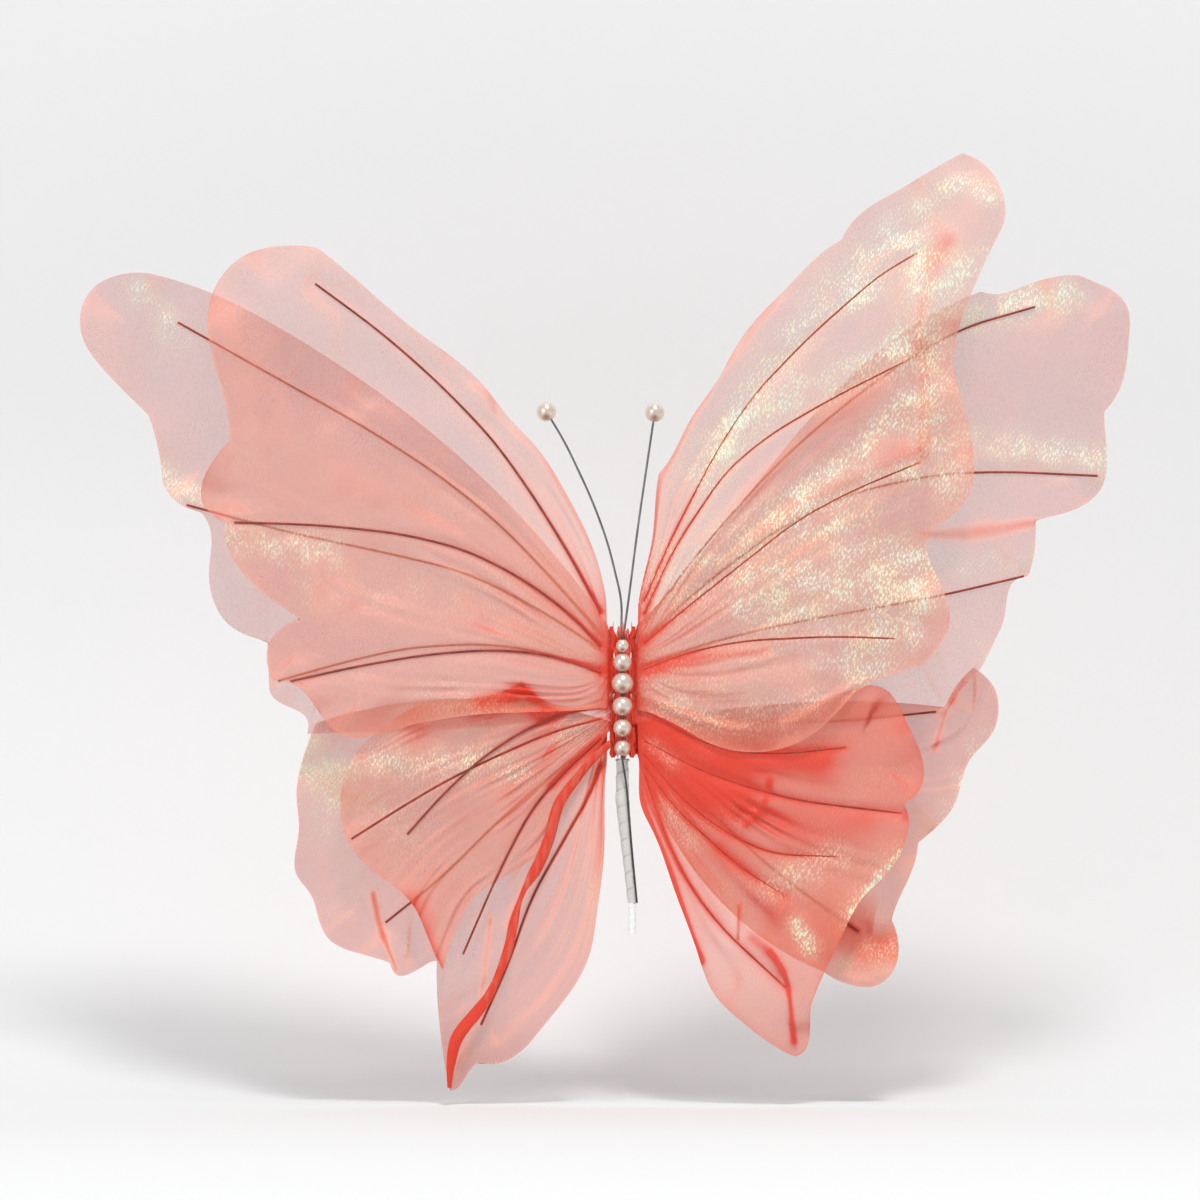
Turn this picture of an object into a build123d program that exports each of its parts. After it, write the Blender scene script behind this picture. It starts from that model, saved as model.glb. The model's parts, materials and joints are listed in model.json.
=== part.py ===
"""Wired organza fairy wings on a taped stem.

Millimetres, +Z up, front towards -Y.  The origin is the lower end of the stem, where the part is held.
Each wing petal is a thin plate bent about a vertical line and pivoted at its gathered root.
"""
from build123d import *
from math import atan2, cos, degrees, radians, sin, sqrt, tan
import os

# Stem and spine
SPINE_X = -4.3          # the spine stands a little to the left of the stem's tip
TIP_TOP = 13.5          # the tip wrap runs from the origin up to here
BEND_TOP = 60.0         # the stem is straight and upright above this height
TAPE_TOP = 79.0
SPINE_TOP = 134.0
CORE_WIRE_R = 0.55
CORE_PITCH_R = CORE_WIRE_R * 2 / sqrt(3)    # three wires that touch each other
CORE_R = CORE_PITCH_R + CORE_WIRE_R
CORE_BOTTOM = 0.5
STEM_BEND_R = 60.0
BORE_R = CORE_R + 0.06
TIP_R = 1.8
TAPE_STATIONS = ((TIP_TOP, 1.8), (37.0, 2.4), (BEND_TOP, 3.15), (TAPE_TOP, 2.7))    # height, radius
COLLAR_WIRE_R = 0.35
BINDING_R = 0.25
BINDING_FIRST = 83.0
BINDING_PITCH = 6.0
BINDING_TURNS = 9

# Pearls on their wire, from the top down
BEAD_Y = -7.5
BEAD_WIRE_R = 0.45
BEAD_TOP_BEND_R = 1.0   # a tight fold over the topmost pearl
BEAD_LOW_BEND_R = 10.0
PEARLS = ((129.6, 3.1), (122.2, 4.3), (113.0, 4.9), (102.6, 4.6), (92.8, 4.2), (83.8, 3.7))  # height, radius

# Antennae
ANTENNA_BASE_Z = 134.8
ANTENNA_WIRE_R = 0.5
ANTENNA_PEARL_R = 4.4
ANTENNA_LEAN = 0.03     # forward per unit of height
ANTENNA_ROUTES = {
    "left": ((-4.9, ANTENNA_BASE_Z), (-4.5, 150), (-10.8, 176), (-18, 195.5), (-30, 221), (-38.5, 235)),
    "right": ((-3.7, ANTENNA_BASE_Z), (-1.6, 150), (2.6, 183), (7, 213), (10.2, 234.6)),
}

# Wing petals
PIVOT_OUT = 4.0         # each side's pivot line stands this far out from the spine
ROOT_OUT = 2.5          # from the pivot line to the edge of the flat part of a petal
SHEET_T = 0.4
ROLL_R = 1.3            # the bound roll of gathered cloth on the pivot line
NECK_T = 0.8
VEIN_R = 0.5
BLOCK_DEPTH = 160.0
BAND_SPARE = 20.0       # the bent band runs past the outline above and below
SIDES = {"left": -1, "right": 1}

# layer: depth of the root, start angle forward, radius of the forward bend, heights of the gathered roll
LAYERS = {
    "upper_front": (-2.4, 4.0, 1000.0, (127.0, 141.0)),
    "lower_front": (-0.8, 1.5, 1100.0, (94.5, 104.0)),
    "upper_back": (0.8, -1.0, 1250.0, (113.0, 126.5)),
    "lower_back": (2.4, -3.5, 1400.0, (81.0, 94.0)),
}

# Outline of each petal: the top of its root, then each scallop's points as (x, z), down to the root's bottom
LEFT_ROOT = SPINE_X - PIVOT_OUT - ROOT_OUT
RIGHT_ROOT = SPINE_X + PIVOT_OUT + ROOT_OUT
OUTLINES = {
    "left_upper_front": (
        (LEFT_ROOT, 143),
        ((-19, 177), (-30, 199), (-43, 219), (-56, 233), (-67, 247), (-98, 272), (-126, 296), (-141, 308)),
        ((-158, 309), (-176, 303), (-188, 287), (-189, 265), (-183, 243), (-180, 222)),
        ((-189, 210), (-193, 199), (-182, 185)),
        ((-181, 174), (-174, 162), (-149, 142)),
        ((-163, 130), (-161, 114)),
        ((-149, 111), (-139, 98), (-118, 89)),
        ((-95, 95), (-68, 99), (-41, 100), (LEFT_ROOT, 102))),
    "left_upper_back": (
        (LEFT_ROOT, 139),
        ((-86, 222), (-149, 267), (-191, 289), (-213, 296)),
        ((-231, 296), (-242, 290), (-247, 280), (-246, 267), (-239, 256), (-228, 244), (-217, 233)),
        ((-213, 219), (-211, 203)),
        ((-204, 194), (-194, 190)),
        ((-189, 179), (-190, 162), (-188, 150), (-182, 140), (-172, 134), (-164, 132)),
        ((-163, 110),),
        ((-158, 104), (-148, 99), (-146, 90)),
        ((-120, 91), (-60, 94), (LEFT_ROOT, 104))),
    "left_lower_front": (
        (LEFT_ROOT, 108),
        ((-33, 103), (-41, 106), (-49.5, 114)),
        ((-59, 109), (-73, 106), (-98, 102), (-109, 95), (-118, 88)),
        ((-125, 80), (-130, 67), (-131, 55), (-128, 43)),
        ((-113, 26), (-99, 14), (-93, 2), (-85, -16)),
        ((-86, -30), (-88, -48), (-83, -62), (-82, -71)),
        ((-79, -69), (-78, -50), (-71, -39), (-62, -25), (-55, -9), (-52, 6), (-46, 21), (-37, 38),
         (-32, 60), (-23, 72), (-13, 83), (LEFT_ROOT, 88))),
    "left_lower_back": (
        (LEFT_ROOT, 96),
        ((-75, 106), (-142, 95)),
        ((-149, 76), (-151, 62), (-150, 47), (-151, 26), (-145, 18), (-141, 6), (-136, -3), (-129, -7),
         (-109, -13)),
        ((-104, -19), (-98, -17), (-88, -12)),
        ((-86, -48), (-82, -71)),
        ((-78, -69), (-74, -63), (-69, -58)),
        ((-59, -58), (-50, -53), (-41, -43), (-25, -22), (-19, -9), (-16, 8), (-14, 22), (-12.5, 38), (-12, 70),
         (LEFT_ROOT, 80))),
    "right_upper_front": (
        (RIGHT_ROOT, 143),
        ((6, 164), (9, 177), (10.5, 195), (12, 207)),
        ((16, 212), (26, 231), (39, 250), (46, 263), (58, 279), (69, 290), (85, 306), (94, 312)),
        ((103, 324), (121, 335), (136, 344), (148, 350.5)),
        ((154, 348), (160, 343), (166, 331), (167, 324), (165, 316)),
        ((161, 308), (150, 283), (145, 267), (144, 254)),
        ((146, 245), (151, 227), (153, 213), (152, 200), (143, 188), (134, 182)),
        ((132, 173), (136, 162), (141, 150), (142, 139), (139, 132), (130, 121)),
        ((114, 116), (100, 109)),
        ((87, 95), (76, 87), (58, 82), (37, 85), (22, 93), (RIGHT_ROOT, 101))),
    "right_upper_back": (
        (RIGHT_ROOT, 139),
        ((75, 226), (130, 276), (157, 289)),
        ((166, 288), (175, 291), (194, 296), (201, 296)),
        ((208, 293), (216, 289), (222, 282), (223, 267), (222, 256), (219, 245), (212, 235)),
        ((213, 218), (213, 209), (211, 201), (203, 193), (193, 189), (181, 186)),
        ((181, 175), (178, 161)),
        ((171, 158), (167, 141), (164, 134), (157, 120)),
        ((148, 110), (141, 102)),
        ((123, 99), (89, 96), (40, 97), (RIGHT_ROOT, 104))),
    "right_lower_front": (
        (RIGHT_ROOT, 108),
        ((30, 100), (66, 98), (98, 110), (107, 112)),
        ((114, 110), (123, 96), (130, 80), (131, 71), (122, 59)),
        ((124, 53), (122, 40), (116, 29), (104, 17), (94, -1), (86, -18), (81, -30)),
        ((80, -43), (76, -54), (73, -55)),
        ((67, -52), (49, -39), (37, -27), (29, -7), (19, 20), (9, 47), (4, 58), (3.2, 75), (RIGHT_ROOT, 84))),
    "right_lower_back": (
        (RIGHT_ROOT, 95),
        ((60, 103), (120, 104), (141, 102)),
        ((148, 114), (154, 120)),
        ((159, 116), (163, 111), (165, 103), (162, 90), (152, 78), (145, 58), (136, 47), (129, 41)),
        ((127, 31), (121, 17), (117, 6)),
        ((120, -9), (118, -16), (107, -24)),
        ((95, -22), (86, -17)),
        ((50, 5), (12, 55), (RIGHT_ROOT, 81))),
}

# Covered vein wires of each petal from the root outwards, as (x, z)
VEINS = {
    "left_upper_front": {
        "leading": ((-14, 145), (-27, 169), (-43, 195), (-62, 222), (-86, 247), (-112, 270), (-142, 292)),
        "middle": ((-14, 130), (-30, 146), (-51, 161), (-75, 173), (-103, 180), (-140, 184), (-178, 185)),
        "trailing": ((-14, 118), (-38, 126), (-63, 128), (-91, 126), (-121, 121), (-153, 114)),
    },
    "left_upper_back": {
        "leading": ((-14, 135), (-35, 159), (-59, 184), (-86, 206), (-120, 228), (-156, 248), (-204, 275)),
        "middle": ((-14, 128), (-43, 147), (-75, 163), (-108, 171), (-156, 181), (-200, 193)),
        "trailing": ((-14, 120), (-60, 131), (-100, 129), (-127, 123), (-159, 114)),
    },
    "left_lower_front": {
        "leading": ((-14, 102), (-32, 99), (-50, 91), (-68, 79), (-86, 62), (-101, 45)),
        "middle": ((-14, 97), (-36, 91), (-59, 81), (-82, 70), (-104, 57), (-126, 43)),
        "trailing": ((-14, 88.5), (-32, 72), (-46, 55), (-60, 28), (-76, -9)),
    },
    "left_lower_back": {
        "leading": ((-14, 88), (-32, 75), (-59, 52), (-86, 25), (-111, 5)),
        "trailing": ((-14, 76), (-20, 61), (-32, 40), (-46, 15), (-55, -12), (-68, -41)),
    },
    "right_upper_front": {
        "leading": ((5.5, 150), (18, 179), (39, 219), (55, 243), (81, 270), (111, 296), (128, 306)),
        "second": ((5.5, 144), (19, 174), (42, 208), (61, 224), (90, 241), (122, 257)),
        "third": ((5.5, 131), (26, 148), (50, 167), (74, 186), (98, 199), (129, 212)),
        "trailing": ((5.5, 119), (26, 127), (50, 132), (90, 134), (118, 133)),
    },
    "right_upper_back": {
        "leading": ((6, 140), (30, 172), (66, 213), (105, 246), (146, 272), (181, 282)),
        "middle": ((6, 133), (32, 157), (66, 183), (100, 199), (138, 207), (167, 208), (209, 206)),
        "trailing": ((6, 121), (31, 130), (66, 139), (100, 145), (138, 152), (176, 161)),
    },
    "right_lower_front": {
        "leading": ((5.5, 101), (15, 95), (30, 87), (46, 82), (68, 81), (96, 84)),
        "second": ((5.5, 87), (30, 74), (49, 67), (75, 60), (121, 54.5)),
        "third": ((5.5, 81), (22, 61), (40, 47), (62, 36), (92, 35)),
        "fourth": ((5.5, 76), (19, 57), (46, 32), (69, 17)),
        "trailing": ((6, 71), (16, 41), (27, 20), (41, 2), (69, -24)),
    },
    "right_lower_back": {
        "leading": ((6, 88), (40, 95), (89, 95), (137, 100)),
        "trailing": ((6, 82), (30, 60), (65, 27), (102, 1)),
    },
}


# Two veins of one petal cross: one is glued to its front, the other to its back
FACE_OFFSETS = {"left_lower_front_leading": -1.1 * VEIN_R, "left_lower_front_middle": 1.1 * VEIN_R}


def save(part, name):
    """Label a finished piece and write its STEP file."""
    part.label = name
    export_step(part, f"parts/{name}.step")


def bend_radii(points):
    """Largest tangent arcs that fit the runs on each side of every corner."""
    vectors = [Vector(*point) for point in points]
    runs = [b - a for a, b in zip(vectors, vectors[1:])]
    radii = []
    for before, after in zip(runs, runs[1:]):
        half_turn = radians(before.get_angle(after)) / 2
        radii.append(0.45 * min(before.length, after.length) / tan(half_turn))
    return radii


def round_wire(points, radius, radii=None):
    """A round wire along straight runs joined by tangent arcs."""
    with BuildPart() as wire:
        with BuildLine() as route:
            FilletPolyline(*points, radius=radii or bend_radii(points))
        with BuildSketch(Plane(origin=route.line @ 0, z_dir=route.line % 0)):
            Circle(radius)
        sweep(path=route.line)
    return wire.part


def sheet_depth(layer, out):
    """Depth of a petal's middle surface at a distance out from its root edge."""
    root_y, angle, bend, _ = LAYERS[layer]
    centre_out = -bend * sin(radians(angle))
    centre_y = root_y - bend * cos(radians(angle))
    return centre_y + sqrt(bend ** 2 - (out - centre_out) ** 2)


def petal(side, layer):
    """A thin plate bent about a vertical line, with a neck and a bound roll at its root."""
    sign = SIDES[side]
    root_y, angle, bend, (roll_low, roll_high) = LAYERS[layer]
    outline = OUTLINES[f"{side}_{layer}"]
    pivot_x = SPINE_X + sign * PIVOT_OUT
    root_x = pivot_x + sign * ROOT_OUT
    centre = (root_x - sign * bend * sin(radians(angle)), root_y - bend * cos(radians(angle)))
    heights = [z for scallop in outline[1:] for _, z in scallop]
    neck_angle = degrees(atan2(root_y, sign * ROOT_OUT))
    with BuildPart() as plate:
        with BuildSketch(Plane.XZ):
            with BuildLine():
                corner = outline[0]
                for scallop in outline[1:]:
                    Spline(corner, *scallop)
                    corner = scallop[-1]
                Line(corner, outline[0])
            make_face()
        extrude(amount=BLOCK_DEPTH / 2, both=True)
        with BuildSketch(Plane.XY.offset(min(heights) - BAND_SPARE)):
            with Locations(centre):
                Circle(bend + SHEET_T / 2)
                Circle(bend - SHEET_T / 2, mode=Mode.SUBTRACT)
        extrude(amount=max(heights) - min(heights) + 2 * BAND_SPARE, mode=Mode.INTERSECT)
        with BuildSketch(Plane.XY.offset(roll_low)):
            with Locations((pivot_x, 0)):
                Circle(ROLL_R)
                with Locations(Rotation(0, 0, neck_angle)):
                    Rectangle(
                        sqrt(ROOT_OUT ** 2 + root_y ** 2) + SHEET_T / 2, NECK_T,
                        align=(Align.MIN, Align.CENTER))
        extrude(amount=roll_high - roll_low)
    return plate.part


def vein(side, layer, points, offset):
    """One covered wire that follows its petal's middle surface, or one face of it."""
    root_x = SPINE_X + SIDES[side] * (PIVOT_OUT + ROOT_OUT)
    route = [(x, sheet_depth(layer, abs(x - root_x)) + offset, z) for x, z in points]
    return round_wire(route, VEIN_R)


def wings():
    """All petals and their vein wires."""
    for side in SIDES:
        for layer in LAYERS:
            name = f"{side}_{layer}"
            save(petal(side, layer), f"{name}_petal")
            for vein_name, points in VEINS[name].items():
                offset = FACE_OFFSETS.get(f"{name}_{vein_name}", 0)
                save(vein(side, layer, points, offset), f"{name}_{vein_name}_vein")


def stem_route():
    """Middle line of the stem's wires from the tip to the top."""
    return FilletPolyline(
        (0, 0, CORE_BOTTOM), (0, 0, TIP_TOP), (SPINE_X, 0, BEND_TOP), (SPINE_X, 0, SPINE_TOP),
        radius=STEM_BEND_R)


def stem_x(height):
    """Sideways place of the stem's middle line at a height."""
    return SPINE_X * min(max((height - TIP_TOP) / (BEND_TOP - TIP_TOP), 0), 1)


def stem():
    """Core wires, the tape round them, the tip wrap, the collar and the binding thread."""
    with BuildPart() as core:
        with BuildLine() as route:
            stem_route()
        with BuildSketch(Plane.XY.offset(CORE_BOTTOM)):
            with PolarLocations(CORE_PITCH_R, 3):
                Circle(CORE_WIRE_R)
        sweep(path=route.line)
    save(core.part, "spine_wires")

    with BuildPart() as tape:
        for height, radius in TAPE_STATIONS:
            with BuildSketch(Plane.XY.offset(height)):
                with Locations((stem_x(height), 0)):
                    Circle(radius)
        loft()
        with BuildLine() as route:
            stem_route()
        with BuildSketch(Plane.XY.offset(CORE_BOTTOM)):
            Circle(BORE_R)
        sweep(path=route.line, mode=Mode.SUBTRACT)
    save(tape.part, "stem_tape")

    with BuildPart() as tip:
        Cylinder(TIP_R, TIP_TOP, align=(Align.CENTER, Align.CENTER, Align.MIN))
        Cylinder(BORE_R, TIP_TOP, align=(Align.CENTER, Align.CENTER, Align.MIN), mode=Mode.SUBTRACT)
    save(tip.part, "tip_tape")

    collar_r = TAPE_STATIONS[-1][1] + COLLAR_WIRE_R
    with BuildPart() as collar:
        with Locations((SPINE_X, 0, TAPE_TOP - 2 * COLLAR_WIRE_R)):
            Torus(collar_r, COLLAR_WIRE_R)
    save(collar.part, "collar_ring")

    with BuildPart() as binding:
        for turn in range(BINDING_TURNS):
            with Locations((SPINE_X, 0, BINDING_FIRST + turn * BINDING_PITCH)):
                Torus(CORE_R + BINDING_R, BINDING_R)
    save(binding.part, "root_binding")


def beads():
    """The bead wire and the pearls threaded on it."""
    route = (
        (SPINE_X, -CORE_R - BEAD_WIRE_R, SPINE_TOP), (SPINE_X, BEAD_Y, SPINE_TOP + 0.3), (SPINE_X, BEAD_Y, 78),
        (-2.3, -3.5, 66), (-0.1, -2.1, 38), (2.25, -0.5, TIP_TOP + 0.5))
    radii = bend_radii(route)
    radii[0] = BEAD_TOP_BEND_R
    radii[1] = BEAD_LOW_BEND_R
    save(round_wire(route, BEAD_WIRE_R, radii), "bead_wire")
    for number, (height, radius) in enumerate(PEARLS, 1):
        with BuildPart() as pearl:
            with Locations((SPINE_X, BEAD_Y, height)):
                Sphere(radius)
                Cylinder(BEAD_WIRE_R, 2 * radius, mode=Mode.SUBTRACT)
        save(pearl.part, f"body_pearl_{number}")


def antennae():
    """Two bent steel wires, each pushed into a pearl."""
    for side, flat_route in ANTENNA_ROUTES.items():
        route = [(x, -ANTENNA_LEAN * (z - ANTENNA_BASE_Z), z) for x, z in flat_route]
        save(round_wire(route, ANTENNA_WIRE_R), f"antenna_wire_{side}")
        tip = Vector(*route[-1])
        inward = Vector(*route[-2]) - tip
        with BuildPart() as pearl:
            with Locations(tip):
                Sphere(ANTENNA_PEARL_R)
            with Locations(Plane(origin=tip, z_dir=inward)):
                Cylinder(
                    ANTENNA_WIRE_R, 2 * ANTENNA_PEARL_R, align=(Align.CENTER, Align.CENTER, Align.MIN),
                    mode=Mode.SUBTRACT)
        save(pearl.part, f"antenna_pearl_{side}")


os.makedirs("parts", exist_ok=True)
wings()
stem()
beads()
antennae()
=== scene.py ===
"""Builds the looks of a pair of wired organza wings on a taped stem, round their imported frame."""
import json
import math

import bmesh
import bpy
import numpy as np
from mathutils import Matrix, Vector


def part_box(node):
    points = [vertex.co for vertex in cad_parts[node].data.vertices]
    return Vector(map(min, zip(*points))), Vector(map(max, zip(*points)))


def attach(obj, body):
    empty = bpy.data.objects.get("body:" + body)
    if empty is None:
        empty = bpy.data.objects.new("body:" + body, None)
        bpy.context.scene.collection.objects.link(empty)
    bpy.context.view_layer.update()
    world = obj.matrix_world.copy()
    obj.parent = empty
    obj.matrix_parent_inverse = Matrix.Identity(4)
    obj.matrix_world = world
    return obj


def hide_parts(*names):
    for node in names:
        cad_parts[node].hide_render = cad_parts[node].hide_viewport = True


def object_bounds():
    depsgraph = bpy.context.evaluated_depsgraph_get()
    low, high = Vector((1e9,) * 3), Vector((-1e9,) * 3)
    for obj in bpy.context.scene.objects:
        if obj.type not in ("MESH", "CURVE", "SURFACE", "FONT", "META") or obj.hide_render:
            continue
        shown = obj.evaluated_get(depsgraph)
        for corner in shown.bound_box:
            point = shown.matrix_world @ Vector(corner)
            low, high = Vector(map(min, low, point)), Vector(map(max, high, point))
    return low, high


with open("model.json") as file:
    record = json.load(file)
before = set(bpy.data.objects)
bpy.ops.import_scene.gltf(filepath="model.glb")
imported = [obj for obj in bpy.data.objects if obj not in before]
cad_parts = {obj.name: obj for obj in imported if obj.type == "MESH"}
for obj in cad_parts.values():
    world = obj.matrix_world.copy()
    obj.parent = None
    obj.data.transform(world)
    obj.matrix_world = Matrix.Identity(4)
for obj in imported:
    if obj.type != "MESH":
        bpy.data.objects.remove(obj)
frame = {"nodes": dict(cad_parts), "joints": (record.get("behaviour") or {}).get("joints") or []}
CAD_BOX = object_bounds()

bl_info = {
    "name": "Organza fairy wings",
    "version": (1, 0, 0),
    "blender": (4, 5, 0),
    "location": "3D View > Sidebar > Wings",
    "description": "Makes the cloth, pearls, tape and finishes of wired organza wings round their frame",
    "category": "Object",
}

MM = 0.001
SIDES = {"left": -1, "right": 1}
LAYERS = ("lower_back", "upper_back", "lower_front", "upper_front")
PIVOT_X = {
    side: next(j for j in frame["joints"] if j["name"] == f"{side}_wing_fold")["pos_m"][0] / MM
    for side in SIDES
}
SPINE_X = (PIVOT_X["left"] + PIVOT_X["right"]) / 2
ROOT_OUT = 2.5              # mm from a pivot line to the edge where the open cloth starts
ROOT_FACE = 0.6             # mm from that edge that a face reaches at least, to count as the plate's front
ROLL_R = 1.3                # the bound roll of cloth on a pivot line
VEIN_R = 0.5
HALF_SHEET = 0.2
VEIN_HOLD = 3.0             # mm from a vein in which the cloth lies close to it
SLACK_FROM = 8.0            # mm from a vein at which the cloth hangs slack
FLUTE_PITCH = 46            # mm from one wave of a free margin to the next
RIM_WIDTH = 0.9             # mm of denser cloth along a cut edge
FINE = 1.0

# Where each petal's leading edge and trailing edge end, in mm
CORNERS = {
    "left_upper_front": ((-157, 309), (-151, 114)),
    "left_upper_back": ((-228, 297), (-162, 110)),
    "left_lower_front": ((-118, 88), (-85, -16)),
    "left_lower_back": ((-142, 95), (-80, -70)),
    "right_upper_front": ((148, 351), (100, 109)),
    "right_upper_back": ((201, 297), (141, 102)),
    "right_lower_front": ((107, 112), (73, -55)),
    "right_lower_back": ((154, 120), (107, -24)),
}

# How deep each petal's colour is, how much denser its cloth looks, and whether its veins show on its front;
# the depth stands partly for painted light: the front petals warmer and lighter where the light falls on
# them, the back petals a darker thread colour in their shade
TONE = {
    "left_upper_front": (0.17, 0.0, True),
    "left_upper_back": (0.03, 0.05, True),
    "left_lower_front": (0.16, 0.0, True),
    "left_lower_back": (0.06, 0.18, True),
    "right_upper_front": (0.13, 0.0, False),
    "right_upper_back": (0.03, 0.05, True),
    "right_lower_front": (0.45, 0.0, False),
    "right_lower_back": (0.08, 0.22, True),
}

# Folds of each petal: points along the fold in mm, its width, its height towards the front and its depth of
# colour, which is below nothing where the cloth is paler; deeper colour stands partly for cloth lying double
# in the fold and partly for painted shade in it
FOLDS = {
    "left_upper_front": (
        (((-14, 136), (-60, 172), (-130, 205)), 9, 2.0, 0.08),
        (((-14, 120), (-70, 138), (-140, 150)), 8, 1.6, 0.08),
        (((-70, 215), (-120, 262), (-160, 290)), 26, 0.6, -0.12),
        (((-36, 100), (-43, 104.5), (-49, 109.5), (-57, 106.5), (-68, 104)), 3.4, 0.0, 0.55),
    ),
    "left_lower_front": (
        (((-35, 100), (-42, 105), (-48.5, 110.5), (-57, 107), (-68, 104)), 4.2, 2.4, 1.0),
        (((-40, 101), (-52, 104), (-62, 101)), 5.0, 1.2, 0.30),
        (((-14, 95), (-30, 96)), 6.0, 0.0, -0.32),
        (((-60, 107), (-82, 103), (-104, 99)), 3.6, 1.2, 0.26),
        (((-45, 100), (-75, 97), (-98, 90)), 8.0, 0.6, 0.18),
        (((-10, 88), (-22, 80), (-36, 67)), 3.4, 1.2, 0.40),
        (((-36, 67), (-60, 42), (-84, 14)), 12, 1.2, 0.05),
        (((-40, 79), (-36.5, 84.5)), 0.7, 0.3, 0.40),
        (((-36.5, 81), (-33.5, 86.5)), 0.7, 0.3, 0.34),
        (((-99, 14), (-92, -2), (-86, -14)), 5, 1.0, 0.45),
    ),
    "left_lower_back": (
        (((-117, 18), (-113, 2), (-106, -16)), 1.2, 1.2, 0.45),
        (((-64, 6), (-66, -12), (-68, -28)), 1.4, 0.8, 0.26),
        (((-14, 84), (-34, 50), (-56, 4)), 3.0, 1.2, 0.20),
    ),
    "right_upper_front": (
        (((150, 324), (143, 308)), 7.0, 1.5, 0.13),
        (((142, 312), (134, 296), (129.5, 278), (128.5, 266)), 3.0, 3.0, 0.30),
        (((128.5, 268), (131.5, 246), (131.3, 228), (130.8, 215)), 1.2, 3.0, 0.24),
        (((127, 214), (120, 218), (108, 219)), 4.0, 0.6, 0.12),
        (((36, 222), (80, 280), (128, 326)), 20.0, 0.6, -0.10),
        (((145, 270), (148, 230), (150, 196)), 9.0, -3.0, 0.06),
        (((112, 247), (76, 222), (49, 195), (31, 177)), 3.4, 1.5, 0.18),
        (((130, 219), (107, 208), (76, 193), (40, 167)), 2.2, 1.6, 0.26),
        (((8, 119), (38, 125), (60, 127)), 3.0, 1.0, 0.42),
        (((10, 117), (35, 115), (75, 116)), 6.0, 1.2, 0.12),
        (((8, 133), (40, 150), (90, 182)), 5.0, 1.0, 0.10),
    ),
    "right_upper_back": (
        # painted shade in the fold along this petal's lower edge
        (((132, 180), (145, 180), (157, 181), (181, 185)), 3.2, 1.6, 0.42),
        (((150, 215), (180, 212), (210, 209)), 5.0, 1.2, 0.06),
        (((100, 110), (70, 103), (30, 102)), 9.0, 1.0, 0.14),
    ),
    "right_lower_front": (
        (((62, 69), (61, 62), (57, 56), (51, 49)), 1.4, 1.2, 0.42),
        (((48, 13), (47.7, -2)), 1.0, 0.8, 0.35),
        (((54, -2), (63, -9), (68, -17)), 3.2, 0.8, 0.28),
        (((62, -8), (68.5, -18), (71, -30), (72.5, -48)), 1.3, 1.5, 0.50),
        (((2, 66), (9, 47), (19, 20), (31, -12)), 1.9, 1.4, 0.62),
        (((6, 94), (26, 86), (50, 80), (84, 78)), 11.0, 1.4, 0.36),
        (((4, 84), (20, 70), (40, 60)), 9.0, 0.6, 0.34),
        (((40, 62), (76, 50), (104, 50)), 9.0, 1.0, 0.18),
        (((40, 38), (58, 22), (66, 12)), 6.0, 1.0, 0.14),
        (((50, 2), (40, -10), (60, -34)), 16.0, 0.6, -0.14),
        (((66, 26), (90, 14), (106, 30)), 12.0, 0.8, -0.10),
    ),
    "right_lower_back": (
        (((136, 83), (142, 101), (150, 114)), 1.2, 1.0, 0.34),
        (((96, 0), (106, -8), (116, -6)), 14.0, 0.8, 0.48),
        (((120, 40), (126, 20), (112, 4)), 10.0, 0.8, 0.08),
    ),
}

# Bands of painted sheen on the cloth, where it would catch the light: points along the band in mm, its width,
# its strength
PAINTED_SHEEN = {
    "left_upper_front": (
        (((-181, 178), (-136, 172)), 7, 0.60), (((-60, 150), (-150, 160)), 16, 0.12),
        (((-60, 96), (-90, 110)), 9, 0.20)),
    "left_upper_back": ((((-222, 290), (-204, 268)), 7, 0.60), (((-213, 208), (-196, 196)), 6, 0.85)),
    "left_lower_front": (
        (((-127, 78), (-100, 78), (-77, 76)), 8, 0.55), (((-68, 80), (-50, 72)), 6, 0.55),
        (((-120, 60), (-100, 40)), 10, 0.22), (((-30, 90), (-20, 94)), 6, 0.25)),
    "left_lower_back": ((((-149, 84), (-132, 66)), 11, 1.0), (((-148, 44), (-120, 44)), 10, 0.20)),
    "right_upper_front": (
        (((30, 205), (78, 275), (128, 326)), 10, 0.66), (((140, 334), (150, 338), (161, 330)), 5, 0.85),
        (((118, 312), (128, 306), (126, 292)), 4, 0.70), (((98, 284), (108, 290)), 6, 0.9),
        (((140, 292), (150, 300), (158, 306)), 5, 0.75),
        (((40, 218), (54, 232), (88, 248), (122, 266)), 8, 0.72),
        (((66, 190), (100, 217), (122, 238)), 6, 0.80),
        (((86, 182), (90, 185)), 3, 0.8), (((106, 206), (126, 208)), 4, 0.5),
        (((104, 124), (122, 142), (128, 166)), 13, 0.75), (((20, 160), (60, 180), (100, 190)), 18, 0.46),
        (((18, 102), (40, 98), (80, 104)), 9, 0.30), (((60, 150), (110, 160)), 16, 0.78),
        (((136, 300), (132, 250), (140, 205)), 14, 0.62), (((16, 110), (60, 120), (96, 126)), 14, 0.20)),
    "right_upper_back": (
        (((142, 282), (150, 276), (176, 284), (196, 286)), 8, 0.95), (((157, 221), (211, 213)), 8, 0.75),
        (((140, 166), (176, 168)), 8, 0.35), (((150, 140), (160, 122)), 8, 0.25)),
    "right_lower_front": (
        (((121, 37), (110, 25), (99, 10)), 1.6, 1.0), (((118, 33), (98, 8)), 7, 0.40),
        (((74, 4), (80, -6)), 4, 0.95), (((66, 22), (90, 34)), 8, 0.45), (((9, 86), (18, 77)), 3.5, 0.18),
        (((15, 58), (26, 42)), 4, 0.22)),
    "right_lower_back": ((((143, 42), (158, 84)), 9, 0.45), (((96, -14), (118, -6)), 7, 0.30)),
}

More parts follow.
